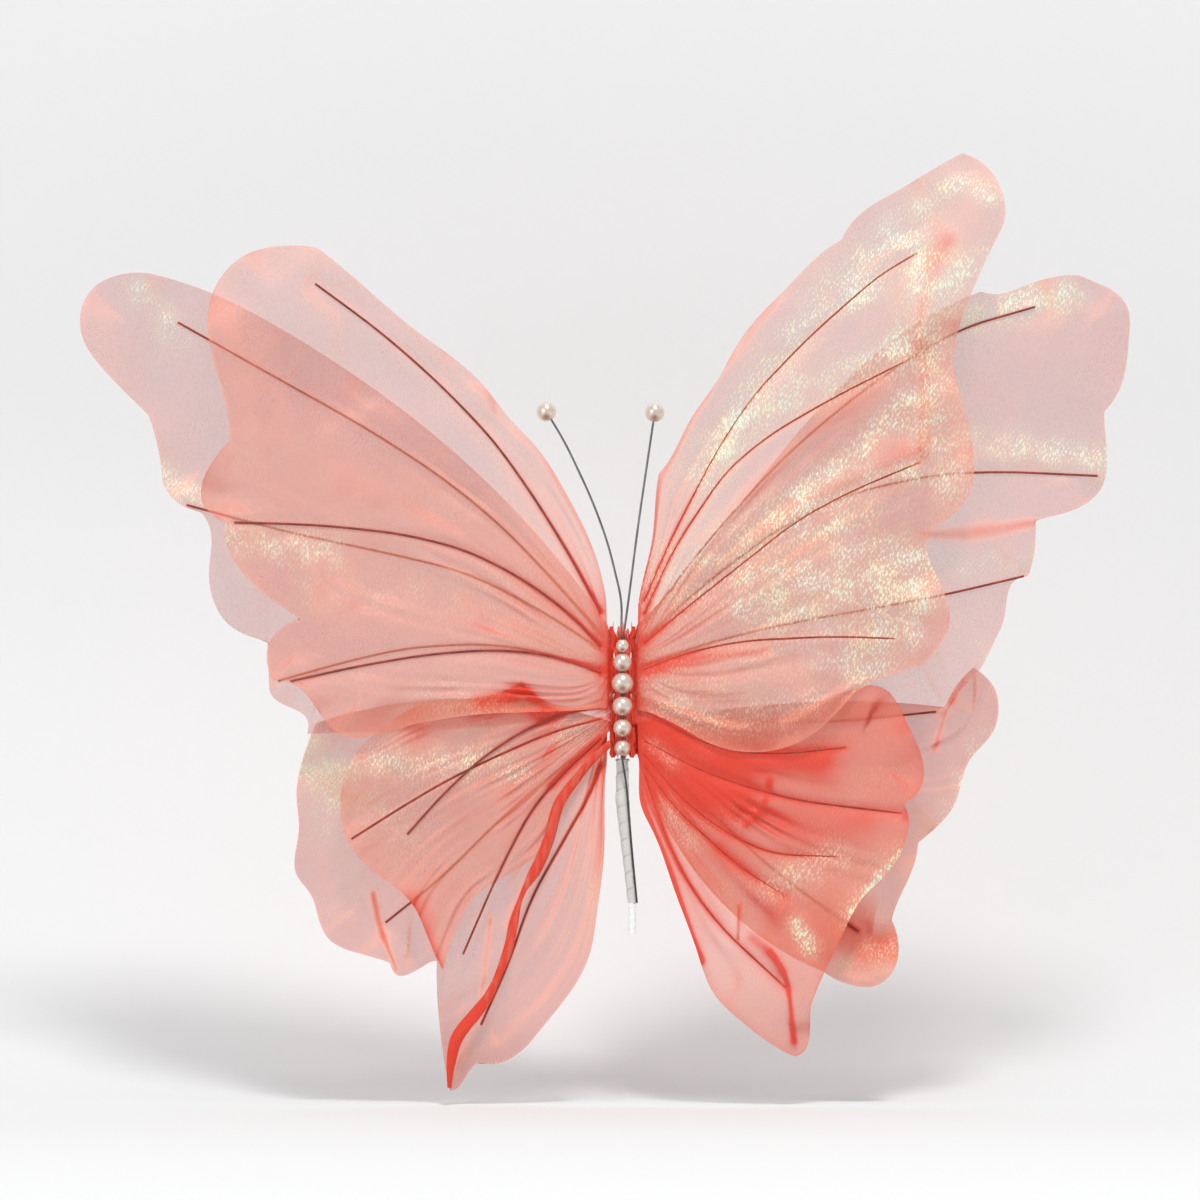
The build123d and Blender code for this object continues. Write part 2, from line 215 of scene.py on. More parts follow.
# The rolled inner edge of the left lower front petal, and how wide it is, in mm
ROLLED_EDGE = (
    (-9.5, 86, 3.0), (-17, 79, 3.6), (-25, 70, 4.2), (-33, 58, 4.8), (-37.5, 43, 5.0), (-41.5, 32, 5.2),
    (-48.5, 20, 2.2), (-53, 6, 4.6), (-56.5, -9, 4.2), (-62.5, -24, 3.4), (-70.5, -36, 5.0), (-79, -47, 5.6),
    (-81.5, -58, 4.6), (-82, -69, 2.0),
)
LOWER_FREE_EDGE = ((-85, -16), (-82, -6), (-72, 16), (-60, 24), (-46, 33), (-38, 40), (-30, 58), (-20, 76))

# How much further than its roll in the frame a petal's gathered root reaches, below and above, in mm
ROOT_SPREAD = {"upper_back": (4.6, 0.0), "lower_front": (0.0, 4.2), "lower_back": (1.2, 1.6)}

# Height and radius of the stem along its tape, in mm
TAPE_STATIONS = ((13.5, 1.8), (37.0, 2.4), (60.0, 3.15), (79.0, 2.7))
STEM_TIP_TOP = 13.5
STEM_BEND_TOP = 60.0

# The backdrop, in mm: a floor that bends up behind the wings
PAPER_WIDTH = 14000
PAPER_FRONT = -7000
PAPER_LENGTH = 9600
PAPER_BEND_FROM = 40.0
PAPER_BEND_R = 330.0

# Each light's name, place in metres, width in metres, power in watts and colour
LIGHTS = (
    ("Key light", (0.3, -1.6, 2.6), 0.55, 51, (1.0, 0.985, 0.965)),
    ("Fill light", (-1.9, -2.4, 0.9), 2.0, 17, (0.97, 0.985, 1.0)),
    ("Top light", (0.1, -0.5, 2.3), 0.9, 5, (1.0, 1.0, 1.0)),
)
SKY_COLOUR = (0.96, 0.965, 0.97, 1)
SKY_STRENGTH = 0.46
VIEW_CENTRE = (-0.0144, 0, 0.1503)      # metres


# ---------------------------------------------------------------- settings

def colour_property(name, description, default):
    """A colour setting with its default."""
    return bpy.props.FloatVectorProperty(
        name=name, description=description, subtype="COLOR", size=3, min=0, max=1, default=default)


def length_property(name, description, default):
    """A length setting with its default in metres."""
    return bpy.props.FloatProperty(name=name, description=description, unit="LENGTH", default=default)


class WINGS_PG_cloth(bpy.types.PropertyGroup):
    """Sizes and colours of the organza."""
    pale: colour_property("Pale thread", "Colour of one open layer of the cloth", (0.50, 0.090, 0.070))
    # The warm colour stands partly for cloth lying double and partly for painted light on the front petals
    warm: colour_property("Warm thread", "Colour where the cloth lies double", (0.88, 0.320, 0.215))
    deep: colour_property("Deep thread", "Colour where the cloth is gathered or folded", (0.76, 0.050, 0.022))
    # The two colours of the painted sheen: pale green and gold highlights laid over the cloth's colour
    shimmer: colour_property("Shimmer", "Colour of the cloth's iridescent bands", (0.80, 0.93, 0.74))
    gold: colour_property("Gold shimmer", "Second colour of the iridescent bands", (0.91, 0.89, 0.60))
    cover: bpy.props.FloatProperty(
        name="Cover", description="How much of what is behind one open layer hides", default=0.36,
        min=0, max=1, subtype="FACTOR")
    along: bpy.props.IntProperty(
        name="Steps out", description="Mesh steps from a petal's root to its margin",
        default=int(216 * FINE))
    across: bpy.props.IntProperty(
        name="Steps across", description="Mesh steps from a petal's leading edge to its trailing edge",
        default=int(144 * FINE))
    pleat: length_property("Pleat", "Height of the longest pleats at a petal's root", 1.3 * MM)
    flute: length_property("Flute", "Height of the waves along a petal's free margin", 2.4 * MM)
    billow: length_property("Billow", "Height of the slack between two veins", 2.6 * MM)


class WINGS_PG_trim(bpy.types.PropertyGroup):
    """Sizes and colours of the pearls, wires, thread and tape."""
    vein: colour_property("Vein cover", "Colour of the veins' paper cover", (0.20, 0.022, 0.016))
    pearl: colour_property("Pearl", "Body colour of the imitation pearls", (0.84, 0.72, 0.62))
    steel: colour_property("Steel", "Colour of the antennae's bare wire", (0.30, 0.29, 0.30))
    tape: colour_property("Tape", "Colour of the floral tape on the stem", (0.70, 0.70, 0.675))
    tip: colour_property("Tip wrap", "Colour of the wrap on the stem's tip", (0.97, 0.97, 0.97))
    thread: colour_property("Binding", "Colour of the binding thread", (0.55, 0.03, 0.02))
    tape_pitch: length_property("Tape pitch", "Rise of the stem's tape in one turn", 7.5 * MM)
    thread_pitch: length_property("Thread pitch", "Rise of the binding thread in one turn", 0.9 * MM)


class WINGS_PG_stage(bpy.types.PropertyGroup):
    """Floor, lights and camera."""
    distance: length_property("Camera distance", "From the camera to the wings", 5.0)
    frame_width: length_property("Frame width", "Width of the view at the wings", 0.54)
    floor: length_property("Floor gap", "Space between the lowest petal and the floor", 6 * MM)
    paper: colour_property("Backdrop", "Colour of the floor and backdrop", (0.765, 0.774, 0.780))


# ---------------------------------------------------------------- numbers along curves and over sheets

def path_lengths(points):
    """Distance along a row of points up to each of them."""
    steps = np.linalg.norm(np.diff(points, axis=0), axis=1)
    return np.concatenate([[0.0], np.cumsum(steps)])


def along_path(points, shares):
    """Points at shares of a path's length."""
    points = np.asarray(points, float)
    lengths = path_lengths(points)
    wanted = np.asarray(shares) * lengths[-1]
    return np.stack([np.interp(wanted, lengths, points[:, k]) for k in range(points.shape[1])], axis=-1)


def smooth_path(points, steps=12):
    """A Catmull-Rom curve through points."""
    p = np.asarray(points, float)
    p = np.vstack([2 * p[0] - p[1], p, 2 * p[-1] - p[-2]])
    t = np.linspace(0, 1, steps, endpoint=False)[:, None]
    parts = []
    for a, b, c, d in zip(p, p[1:], p[2:], p[3:]):
        parts.append(0.5 * (2 * b + (c - a) * t + (2 * a - 5 * b + 4 * c - d) * t ** 2
                            + (3 * b - a - 3 * c + d) * t ** 3))
    return np.vstack(parts + [p[-2:-1]])


def distance_to_path(points, path):
    """Each point's distance to a path, and how far along the path its nearest place is."""
    path = np.asarray(path, float)
    starts, runs = path[:-1], np.diff(path, axis=0)
    squares = np.maximum((runs ** 2).sum(1), 1e-12)
    lengths = path_lengths(path)
    distance = np.empty(len(points))
    place = np.empty(len(points))
    for chunk in np.array_split(np.arange(len(points)), max(1, len(points) // 4000)):
        away = points[chunk][:, None, :] - starts
        share = np.clip((away * runs).sum(2) / squares, 0, 1)
        gap = np.linalg.norm(away - share[..., None] * runs, axis=2)
        best = gap.argmin(1)
        row = np.arange(len(chunk))
        distance[chunk] = gap[row, best]
        place[chunk] = lengths[best] + share[row, best] * np.sqrt(squares[best])
    return distance, place


def ripples(x, z, wavelength, seed, waves=7):
    """A smooth uneven surface between about -1 and 1."""
    rng = np.random.default_rng(seed)
    total = np.zeros_like(x)
    for _ in range(waves):
        heading = rng.uniform(0, math.tau)
        length = wavelength * rng.uniform(0.7, 1.5)
        phase = rng.uniform(0, math.tau)
        total += np.sin(math.tau * (x * math.cos(heading) + z * math.sin(heading)) / length + phase)
    return total / math.sqrt(waves)


def uneven_wave(v, count, seed):
    """Pleats across a petal: count waves of uneven width over v from 0 to 1."""
    rng = np.random.default_rng(seed)
    phase = count * v
    for turns in (1.3, 2.9, 4.7):
        phase = phase + rng.uniform(0.25, 0.6) * np.sin(math.tau * turns * v + rng.uniform(0, math.tau))
    return np.sin(math.tau * phase)


def ease(value, low, high):
    """A smooth rise from 0 at low to 1 at high."""
    t = np.clip((value - low) / (high - low), 0, 1)
    return t * t * (3 - 2 * t)


def bump(distance, width):
    """1 on a line, falling to nothing a few widths away."""
    return np.exp(-(distance / width) ** 2)


# ---------------------------------------------------------------- the petals' shape, read from the frame

class Petal:
    """One wing petal as the frame gives it, in millimetres."""

    def __init__(self, side, layer):
        self.side = side
        self.body = f"{side}_{layer}"
        self.node = f"{self.body}_petal"
        self.sign = SIDES[side]
        self.seed = sum(map(ord, self.body))
        self.pivot_x = PIVOT_X[side]
        self.root_x = self.pivot_x + self.sign * ROOT_OUT
        self.read_plate()
        self.veins = [
            self.centreline(name) for name in sorted(frame["nodes"])
            if name.startswith(self.body) and name.endswith("_vein")]

    def out(self, x):
        """Distance outwards from the root edge."""
        return self.sign * (x - self.root_x)

    def read_plate(self):
        """The roll's heights, the outline of the plate's front and the depth of its middle surface."""
        bm = bmesh.new()
        bm.from_mesh(frame["nodes"][self.node].data)
        bmesh.ops.remove_doubles(bm, verts=bm.verts, dist=0.002 * MM)
        bm.normal_update()
        on_roll = [
            v.co.z / MM for v in bm.verts if self.sign * (v.co.x / MM - self.pivot_x) < 0.5 * ROLL_R]
        below, above = ROOT_SPREAD.get(self.body.split("_", 1)[1], (0, 0))
        self.roll = (min(on_roll) - below, max(on_roll) + above)
        unseen = [
            f for f in bm.faces
            if f.normal.y > -0.5 or self.out(f.calc_center_median().x / MM) < ROOT_FACE]
        bmesh.ops.delete(bm, geom=unseen, context="FACES")
        start = max(
            (v for v in bm.verts if self.out(v.co.x / MM) < 0.5 and v.is_boundary), key=lambda v: v.co.z)
        chain = [start]
        ahead = [e.other_vert(start) for e in start.link_edges if e.is_boundary]
        current = max(ahead, key=lambda v: self.out(v.co.x))
        while current is not start and self.out(current.co.x / MM) > 0.35:
            chain.append(current)
            ahead = [e.other_vert(current) for e in current.link_edges if e.is_boundary]
            current = next(v for v in ahead if v is not chain[-2])
        chain.append(current)
        rim = np.array([v.co for v in chain]) / MM
        behind = (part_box(self.node)[1].y / MM - rim[:, 1].max()) / 2
        self.outline = rim[:, [0, 2]]
        self.depth_fit = np.polyfit(self.out(rim[:, 0]), rim[:, 1], 4)
        self.half_sheet = behind if behind < 1.5 * HALF_SHEET else HALF_SHEET
        bm.free()

    def depth(self, out):
        """Depth of the middle surface: the plate's bend, drawn in to the pivot line at the root."""
        plate = np.polyval(self.depth_fit, np.maximum(out, 0)) + self.half_sheet
        return plate * ease(out, -ROOT_OUT, 0.6)

    def centreline(self, name):
        """Middle line of a vein, from its root outwards, as (x, z)."""
        mesh = frame["nodes"][name].data
        points = np.empty(len(mesh.vertices) * 3)
        mesh.vertices.foreach_get("co", points)
        points = points.reshape(-1, 3) / MM
        reach = np.hypot(points[:, 0] - self.pivot_x, points[:, 2] - sum(self.roll) / 2)
        bins = np.unique(np.round(reach / 4), return_inverse=True)[1]
        return np.array([points[bins == k][:, [0, 2]].mean(0) for k in range(bins.max() + 1)])


def winslow(x, z, rounds):
    """Evens out the inside of a grid of points without letting it fold over its edges."""
    for _ in range(rounds):
        xu, zu = (x[2:, 1:-1] - x[:-2, 1:-1]) / 2, (z[2:, 1:-1] - z[:-2, 1:-1]) / 2
        xv, zv = (x[1:-1, 2:] - x[1:-1, :-2]) / 2, (z[1:-1, 2:] - z[1:-1, :-2]) / 2
        a, b, c = xv ** 2 + zv ** 2, xu * xv + zu * zv, xu ** 2 + zu ** 2
        for g in (x, z):
            twist = g[2:, 2:] - g[:-2, 2:] - g[2:, :-2] + g[:-2, :-2]
            middle = a * (g[2:, 1:-1] + g[:-2, 1:-1]) + c * (g[1:-1, 2:] + g[1:-1, :-2]) - 0.5 * b * twist
            g[1:-1, 1:-1] += 0.8 * (middle / (2 * (a + c) + 1e-9) - g[1:-1, 1:-1])
    return x, z


def coons(edges, u, v):
    """Fills the space between a leading edge, a trailing edge, a root and a margin."""
    lead, trail, root, margin = edges
    u, v = u[:, None, None], v[None, :, None]
    edges_sum = (1 - v) * lead[:, None] + v * trail[:, None] + (1 - u) * root[None] + u * margin[None]
    return (edges_sum - (1 - u) * (1 - v) * root[0] - (1 - u) * v * root[-1]
            - u * (1 - v) * margin[0] - u * v * margin[-1])


def finer(grid, u, v):
    """A grid of values at more steps."""
    old_u, old_v = np.linspace(0, 1, grid.shape[0]), np.linspace(0, 1, grid.shape[1])
    rows = np.stack([np.interp(v, old_v, row) for row in grid])
    return np.stack([np.interp(u, old_u, column) for column in rows.T], axis=1)


def petal_edges(petal, u, v):
    """The four edges of a petal's cloth at the steps u outwards and v across."""
    outline = petal.outline
    first, last = (
        int(np.linalg.norm(outline - np.array(corner), axis=1).argmin())
        for corner in CORNERS[petal.body])
    roll_low, roll_high = petal.roll
    top, low = np.array((petal.pivot_x, roll_high)), np.array((petal.pivot_x, roll_low))
    lead = np.vstack([top, outline[:first + 1]])
    trail = np.vstack([outline[last:], low])[::-1]
    if petal.body == "left_lower_front":
        trail = np.vstack([low, smooth_path(LOWER_FREE_EDGE)[::-1]])
    margin = along_path(outline[first:last + 1], np.linspace(0, 1, 400))
    margin[-1] = trail[-1]
    root = np.vstack([top, low])
    return along_path(lead, u), along_path(trail, u), along_path(root, v), along_path(margin, v)


def petal_grid(petal, steps_out, steps_across):
    """Places of a petal's cloth, seen from the front, over a grid."""
    coarse_u, coarse_v = np.linspace(0, 1, 61), np.linspace(0, 1, 41)
    start = coons(petal_edges(petal, coarse_u, coarse_v), coarse_u, coarse_v)
    x, z = winslow(start[..., 0].copy(), start[..., 1].copy(), 260)
    moved = np.stack([x, z], axis=-1) - start
    u, v = np.linspace(0, 1, steps_out + 1), np.linspace(0, 1, steps_across + 1)
    fine = coons(petal_edges(petal, u, v), u, v)
    return fine + np.stack([finer(moved[..., k], u, v) for k in (0, 1)], axis=-1)


def petal_relief(petal, places, v, settings):
    """Forward height, depth of colour, painted sheen and rim of a petal's cloth at each place."""
    x, z = places[:, 0], places[:, 1]
    out = petal.out(x)
    open_out = np.maximum(out, 0)
    vein_gap = np.min([distance_to_path(places, vein)[0] for vein in petal.veins], axis=0)
    slack = 1 - bump(vein_gap, SLACK_FROM)
    rim_gap, rim_place = distance_to_path(places, along_path(petal.outline, np.linspace(0, 1, 260)))
    rng = np.random.default_rng(petal.seed)
    pleat, flute, billow = (value / MM for value in (settings.pleat, settings.flute, settings.billow))

    short_pleats = uneven_wave(v, 17, petal.seed) * np.exp(-open_out / 16) * 0.5
    long_pleats = uneven_wave(v, 7, petal.seed + 1) * (open_out / 28) * np.exp(1 - open_out / 28) * pleat
    wander = 1.2 * np.sin(math.tau * rim_place / 131)
    flutes = np.sin(math.tau * rim_place / FLUTE_PITCH + wander + rng.uniform(0, 6))
    height = short_pleats + long_pleats * (0.35 + 0.65 * slack)
    height += flute * flutes * bump(rim_gap, 17) * ease(out, 20, 60)
    height += billow * ripples(x, z, 62, petal.seed + 2) * slack * ease(out, 15, 60)
    height += 0.30 * ripples(x, z, 19, petal.seed + 3) * slack * ease(out, 10, 40)
    height += 0.05 * ripples(x, z, 6.5, petal.seed + 4)
    tone = np.full_like(x, TONE[petal.body][0])
    for points, width, rise, depth in FOLDS.get(petal.body, ()):
        gap, place = distance_to_path(places, smooth_path(points))
        wander = 1 + 0.3 * np.sin(place / 9 + petal.seed)
        height += rise * bump(gap, width * 1.8)
        tone += depth * bump(gap, width * wander)
    reach = 0.55 + 0.021 * open_out + 0.0001 * open_out ** 2
    height = reach * np.tanh(height / reach) * (1 - bump(vein_gap, VEIN_HOLD))

    streaks = np.maximum(0, uneven_wave(v, 9, petal.seed + 5)) ** 2
    fine_streaks = np.maximum(0, uneven_wave(v, 23, petal.seed + 6)) ** 2
    tone += 0.50 * np.exp(-open_out / 4.2) + 0.13 * streaks * np.exp(-open_out / 34)
    tone += 0.24 * fine_streaks * np.exp(-open_out / 13)
    near_root = np.exp(-open_out / 42)
    tone += (0.14 + 0.40 * near_root) * bump(vein_gap, 1.1)
    tone += (0.03 + 0.16 * near_root) * bump(vein_gap, 1.6 + 1.2 * near_root)
    tone += 0.025 * ripples(x, z, 80, petal.seed + 7)
    # Painted sheen: pale highlights along the listed bands, made uneven, and a faint one scattered everywhere
    shimmer = np.zeros_like(x)
    for points, width, strength in PAINTED_SHEEN[petal.body]:
        gap, _ = distance_to_path(places, smooth_path(points))
        shimmer += strength * bump(gap, width)
    shimmer *= 1 + 0.35 * ripples(x, z, 14, petal.seed + 8)
    shimmer += 0.06 * np.maximum(0, ripples(x, z, 40, petal.seed + 9))
    rim = bump(rim_gap, RIM_WIDTH) * ease(out, 2, 6)
    return height, tone, shimmer, rim


# ---------------------------------------------------------------- meshes

def grid_piece(name, place, steps_u, steps_v, closed=False):
    """A piece from a square grid whose points place(u, v) puts in millimetres.

    place takes flat arrays of u and v and gives an array of points.  A closed grid joins v = 0 to v = 1
    and is capped at both ends.
    """
    bm = bmesh.new()
    bm.loops.layers.uv.new("UVMap")
    bmesh.ops.create_grid(bm, x_segments=steps_u, y_segments=steps_v, size=0.5, calc_uvs=True)
    u = np.array([v.co.x + 0.5 for v in bm.verts])
    v = np.array([v.co.y + 0.5 for v in bm.verts])
    for vertex, point in zip(bm.verts, place(u, v) * MM):
        vertex.co = point
    if closed:
        bmesh.ops.remove_doubles(bm, verts=bm.verts, dist=0.0005 * MM)
        rims = [e for e in bm.edges if e.is_boundary]
        bmesh.ops.holes_fill(bm, edges=rims, sides=0)
        bmesh.ops.recalc_face_normals(bm, faces=bm.faces)
    bm.normal_update()
    if not closed and sum(f.normal.y * f.calc_area() for f in bm.faces) > 0:
        bmesh.ops.reverse_faces(bm, faces=bm.faces)
    for face in bm.faces:
        face.smooth = True
    return new_piece(bm, name)


def new_piece(bm, name):
    """An object at the origin from a finished bmesh."""
    mesh = bpy.data.meshes.new(name)
    bm.to_mesh(mesh)
    bm.free()
    piece = bpy.data.objects.new(name, mesh)
    bpy.context.scene.collection.objects.link(piece)
    return piece


def tube(name, path, width, steps_round, depth=None, turn=None):
    """A tube round a path in millimetres.

    width is its radius at each point of the path, or a function of shares along and round it that gives
    one.  depth is the radius across the width, where the section is oval, and turn how far it is turned.
    """
    path = np.asarray(path, float)
    shares = path_lengths(path) / path_lengths(path)[-1]
    ahead = np.gradient(path, axis=0)
    ahead /= np.linalg.norm(ahead, axis=1)[:, None]
    forward = np.array((0.0, -1.0, 0.0))
    across = np.cross(ahead, forward)
    across /= np.maximum(np.linalg.norm(across, axis=1), 1e-9)[:, None]
    front = np.cross(across, ahead)

    def place(u, v):
        row = np.rint(u * (len(path) - 1)).astype(int)
        angle = math.tau * v
        wide = width(shares[row], v) if callable(width) else np.asarray(width)[row]
        deep = wide if depth is None else np.asarray(depth)[row]
        a, b = np.cos(angle) * wide, np.sin(angle) * deep
        if turn is not None:
            t = np.asarray(turn)[row]
            a, b = a * np.cos(t) - b * np.sin(t), a * np.sin(t) + b * np.cos(t)
        return path[row] + across[row] * a[:, None] + front[row] * b[:, None]

    return grid_piece(name, place, len(path) - 1, steps_round, closed=True)


def paint(piece, **values):
    """Writes named values for each vertex, which the materials read."""
    count = len(piece.data.vertices)
    for name, value in values.items():
        attribute = piece.data.attributes.new(name, "FLOAT", "POINT")
        each = np.broadcast_to(np.asarray(value, np.float32), (count,))
        attribute.data.foreach_set("value", each.copy())


def vertex_places(piece):
    """A piece's vertices in millimetres."""
    points = np.empty(len(piece.data.vertices) * 3)
    piece.data.vertices.foreach_get("co", points)
    return points.reshape(-1, 3) / MM


def settle(piece, body, slot, material, *replaced):
    """Puts a finished piece on its body with its material, and in place of its CAD nodes; slot is not used.
    """
    piece.data.materials.append(material)
    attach(piece, body)
    if replaced:
        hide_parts(*replaced)


# ---------------------------------------------------------------- materials

class Nodes:
    """A node tree that is filled by short calls."""

    def __init__(self, tree):
        self.tree = tree

    def add(self, kind, inputs=None, **settings):
        """A node with its settings, and its inputs as values or as sockets to link."""
        node = self.tree.nodes.new("ShaderNode" + kind)
        for key, value in settings.items():
            setattr(node, key, value)
        self.fill(node, inputs or {})
        return node

    def fill(self, node, inputs):
        """Gives a node's inputs their values, or links the sockets that feed them."""
        for key, value in inputs.items():
            if isinstance(value, bpy.types.NodeSocket):
                self.tree.links.new(value, node.inputs[key])
            else:
                node.inputs[key].default_value = value

    def relief(self, height, strength, distance):
        """A normal that follows a height."""
        return self.add("Bump", {"Height": height, "Strength": strength, "Distance": distance}).outputs[0]

    def texture(self, tree, size):
        """The grain of a finish at a size in metres."""
        return self.add("Group", {"Vector": self.object_coordinates(), "Size": size}, node_tree=tree)

    def math(self, operation, a, b=0.0, clamp=False):
        """One Math node's result."""
        return self.add("Math", {0: a, 1: b}, operation=operation, use_clamp=clamp).outputs[0]

    def mix(self, factor, a, b, blend="MIX"):
        """Two colours mixed."""
        return self.add(
            "Mix", {"Factor": factor, 6: a, 7: b}, data_type="RGBA", blend_type=blend).outputs[2]

    def spread(self, value, low, high, to_low=0.0, to_high=1.0):
        """A value moved from one range to another, and held in it."""
        inputs = {0: value, 1: low, 2: high, 3: to_low, 4: to_high}
        return self.add("MapRange", inputs, clamp=True).outputs[0]

    def noise(self, vector, scale, detail=3.0, roughness=0.55, distortion=0.0):
        """A Noise texture's value."""
        inputs = {
            "Vector": vector, "Scale": scale, "Detail": detail, "Roughness": roughness,
            "Distortion": distortion}
        return self.add("TexNoise", inputs).outputs[0]

    def attribute(self, name):
        """A value that the mesh carries."""
        return self.add("Attribute", attribute_name=name).outputs["Fac"]

    def object_coordinates(self):
        """Places in the object's own frame."""
        return self.add("TexCoord").outputs["Object"]


def rgba(colour):
    """A colour setting as a socket's value."""
    return (*colour, 1.0)


def new_material(name):
    """A material with its nodes, its Principled BSDF and its output linked."""
    material = bpy.data.materials.new(name)
    material.use_nodes = True
    nodes = Nodes(material.node_tree)
    return material, nodes, material.node_tree.nodes["Principled BSDF"]


def group(name, inputs, outputs):
    """A new shader node group with its sockets.  inputs maps a name to a default value."""
    tree = bpy.data.node_groups.new(name, "ShaderNodeTree")
    for label, value in inputs.items():
        kind = "NodeSocketVector" if label == "Vector" else "NodeSocketFloat"
        socket = tree.interface.new_socket(label, in_out="INPUT", socket_type=kind)
        if label != "Vector":
            socket.default_value = value
    for label in outputs:
        tree.interface.new_socket(label, in_out="OUTPUT", socket_type="NodeSocketFloat")
    return Nodes(tree), tree.nodes.new("NodeGroupInput"), tree.nodes.new("NodeGroupOutput")


def grain_group():
    """Uneven grain at two sizes, for thread, paper and tape."""
    nodes, source, result = group("Fine grain", {"Vector": None, "Size": 1.0}, ("Grain", "Blotch"))
    size = source.outputs["Size"]
    grain = nodes.noise(source.outputs["Vector"], nodes.math("DIVIDE", 1.0, size), 4.0)
    blotch = nodes.noise(source.outputs["Vector"], nodes.math("DIVIDE", 0.12, size), 2.0)
    nodes.fill(result, {"Grain": nodes.spread(grain, 0.3, 0.7), "Blotch": nodes.spread(blotch, 0.3, 0.7)})
    return nodes.tree


def weave_group():
    """The two sets of threads of a plain weave, and the moire that they make."""
    nodes, source, result = group(
        "Organza weave", {"Vector": None, "Pitch": 0.0008}, ("Threads", "Moire", "Glint"))
    vector, pitch = source.outputs["Vector"], source.outputs["Pitch"]
    scale = nodes.math("DIVIDE", 0.5, pitch)
    waves = []
    for turn in (0.55, 0.55 + math.pi / 2):
        turned = nodes.add("Mapping", {"Vector": vector, "Rotation": (0, turn, 0)}).outputs[0]
        waves.append(nodes.add(
            "TexWave",
            {"Vector": turned, "Scale": scale, "Distortion": 2.2, "Detail": 2.0, "Detail Scale": 0.6},
            bands_direction="X").outputs["Fac"])
    threads = nodes.math("MAXIMUM", *waves)
    turned = nodes.add("Mapping", {"Vector": vector, "Rotation": (0, 0.9, 0)}).outputs[0]
    moire = nodes.add(
        "TexWave",
        {"Vector": turned, "Scale": nodes.math("MULTIPLY", scale, 0.32), "Distortion": 9.0, "Detail": 3.0,
         "Detail Scale": 0.35},
        bands_direction="Z").outputs["Fac"]
    # Glint: a grain of short strokes that places the painted glints on the cloth; it also roughens and bumps
    # the surface
    strokes = nodes.add(
        "Mapping", {"Vector": vector, "Rotation": (0, 0.5, 0), "Scale": (1.0, 1.0, 0.42)}).outputs[0]
    glint = nodes.noise(strokes, nodes.math("DIVIDE", 1.15, pitch), 1.0, 0.6)
    nodes.fill(result, {"Threads": threads, "Moire": moire, "Glint": nodes.spread(glint, 0.47, 0.61)})
    return nodes.tree


def organza_material(cloth):
    """Sheer red organza, with pale green and gold highlights painted on as sheen and glints."""
    material, nodes, shader = new_material("Iridescent organza")
    place = nodes.object_coordinates()
    weave = nodes.add("Group", node_tree=weave_group())
    nodes.fill(weave, {"Vector": place, "Pitch": 0.0009})
    threads, moire, glint = (weave.outputs[k] for k in ("Threads", "Moire", "Glint"))
    tone, shimmer, rim, dense = (nodes.attribute(k) for k in ("tone", "shimmer", "rim", "dense"))
    blotch = nodes.noise(place, 22.0, 1.0)

    depth = nodes.math("ADD", tone, nodes.math("MULTIPLY", rim, 0.10))
    depth = nodes.math("ADD", depth, nodes.spread(blotch, 0.3, 0.7, -0.015, 0.015), clamp=True)
    body = nodes.mix(nodes.spread(depth, 0.0, 0.25), rgba(cloth.pale), rgba(cloth.warm))
    body = nodes.mix(nodes.spread(depth, 0.22, 0.75), body, rgba(cloth.deep))
    # Painted sheen and glints: the painted sheen bands, broken up by the glinting grain, turn the colour pale
    # green and gold and make the cloth hide more of what is behind it
    hue = nodes.noise(place, 95.0, 2.0)
    gold = nodes.mix(nodes.spread(hue, 0.40, 0.60), rgba(cloth.shimmer), rgba(cloth.gold))
    sparkle = nodes.math("MULTIPLY", glint, nodes.spread(moire, 0.15, 0.85, 0.45, 1.0))
    glitter = nodes.math("ADD", 0.30, nodes.math("MULTIPLY", sparkle, 1.15))
    shine = nodes.math("MULTIPLY", shimmer, glitter, clamp=True)
    body = nodes.mix(nodes.math("MULTIPLY", shine, 0.95, clamp=True), body, gold)
    gaps = nodes.spread(threads, 0.2, 1.0, 0.12, 0.0)
    shaded = nodes.mix(gaps, body, (0.25, 0.03, 0.02, 1.0), "MULTIPLY")

    cover = nodes.spread(depth, 0.0, 0.85, cloth.cover, 0.97)
    cover = nodes.math("ADD", nodes.math("ADD", cover, dense), nodes.math("MULTIPLY", shine, 0.36))
    cover = nodes.math("ADD", cover, nodes.spread(glint, 0.0, 1.0, -0.02, 0.02), clamp=True)
    height = nodes.math("ADD", nodes.math("MULTIPLY", threads, 0.6), nodes.math("MULTIPLY", glint, 0.8))
    nodes.fill(shader, {
        "Base Color": shaded, "Alpha": cover, "Roughness": nodes.spread(sparkle, 0.0, 1.0, 0.62, 0.30),
        "Normal": nodes.relief(height, 0.22, 0.0002), "Specular IOR Level": 0.35, "Sheen Weight": 0.12,
        "Sheen Roughness": 0.4, "Sheen Tint": (1.0, 0.86, 0.80, 1.0)})
    return material


def vein_material(trim, grain):
    """Dark red paper-covered wire, lighter where the cover is rubbed and dyed at its root."""
    material, nodes, shader = new_material("Covered wire")
    texture = nodes.texture(grain, 0.0006)
    worn = nodes.mix(texture.outputs["Blotch"], rgba(trim.vein), (0.42, 0.06, 0.035, 1.0))
    across = nodes.add("SeparateXYZ", {0: nodes.object_coordinates()}).outputs["X"]
    away = nodes.math("ABSOLUTE", nodes.math("SUBTRACT", across, SPINE_X * MM))
    dyed = nodes.mix(nodes.spread(away, 0.010, 0.038), (0.62, 0.045, 0.02, 1.0), worn)
    pits = nodes.spread(texture.outputs["Grain"], 0, 1, 0.25, 0.0)
    nodes.fill(shader, {
        "Base Color": nodes.mix(pits, dyed, (0.08, 0.01, 0.01, 1.0)), "Roughness": 0.72,
        "Normal": nodes.relief(texture.outputs["Grain"], 0.5, 0.0002)})
    return material


